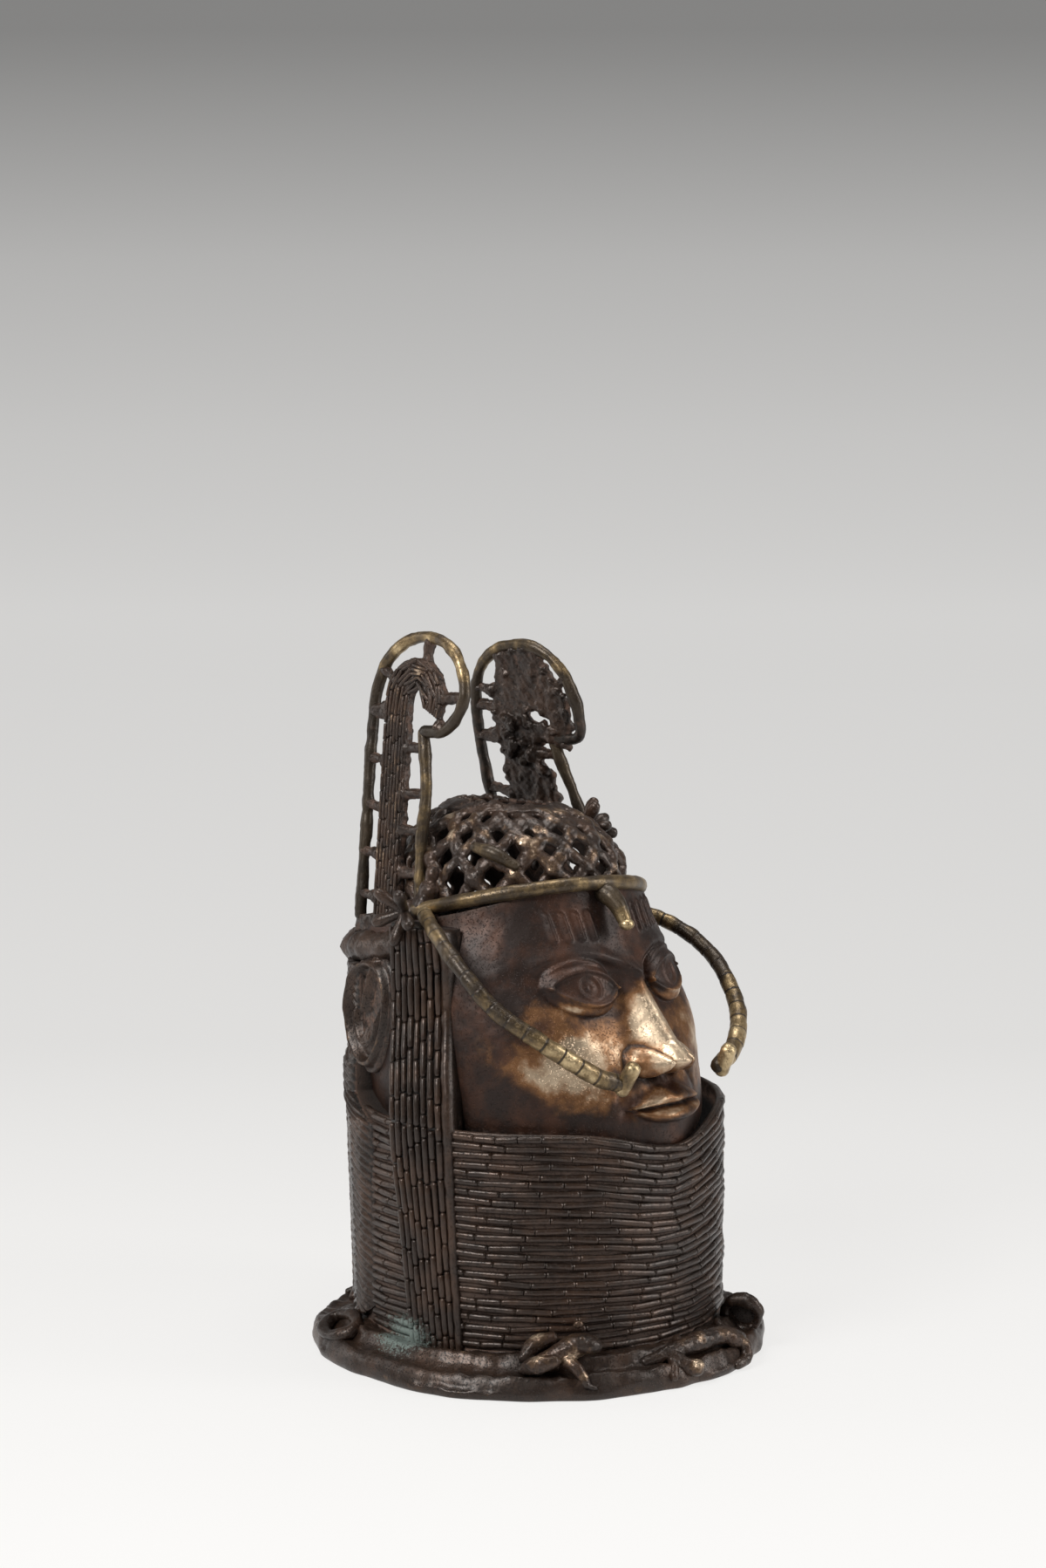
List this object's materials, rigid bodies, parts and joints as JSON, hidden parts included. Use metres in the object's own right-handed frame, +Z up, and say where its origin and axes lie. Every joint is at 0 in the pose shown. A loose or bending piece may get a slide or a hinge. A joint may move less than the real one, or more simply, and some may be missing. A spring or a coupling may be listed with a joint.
{
  "type": "benin bronze head",
  "caption": "Hollow cast-bronze altar head with a high beaded collar, an openwork beaded cap, two curled wing ornaments, curved whisker rods and a wide flange.",
  "frame": {"origin": "centre of the flange's underside, on the surface that the head stands on", "axes": "+Z up; -Y is where the face looks; +X is the head's own left"},
  "size_m": [0.2581, 0.2592, 0.4052],
  "materials": {
    "dark_bronze": "dark brown patina, rubbed to warm brass on the rods and edges"
  },
  "bodies": {
    "root": {"bronze_head": "dark_bronze"}
  },
  "joints": []
}
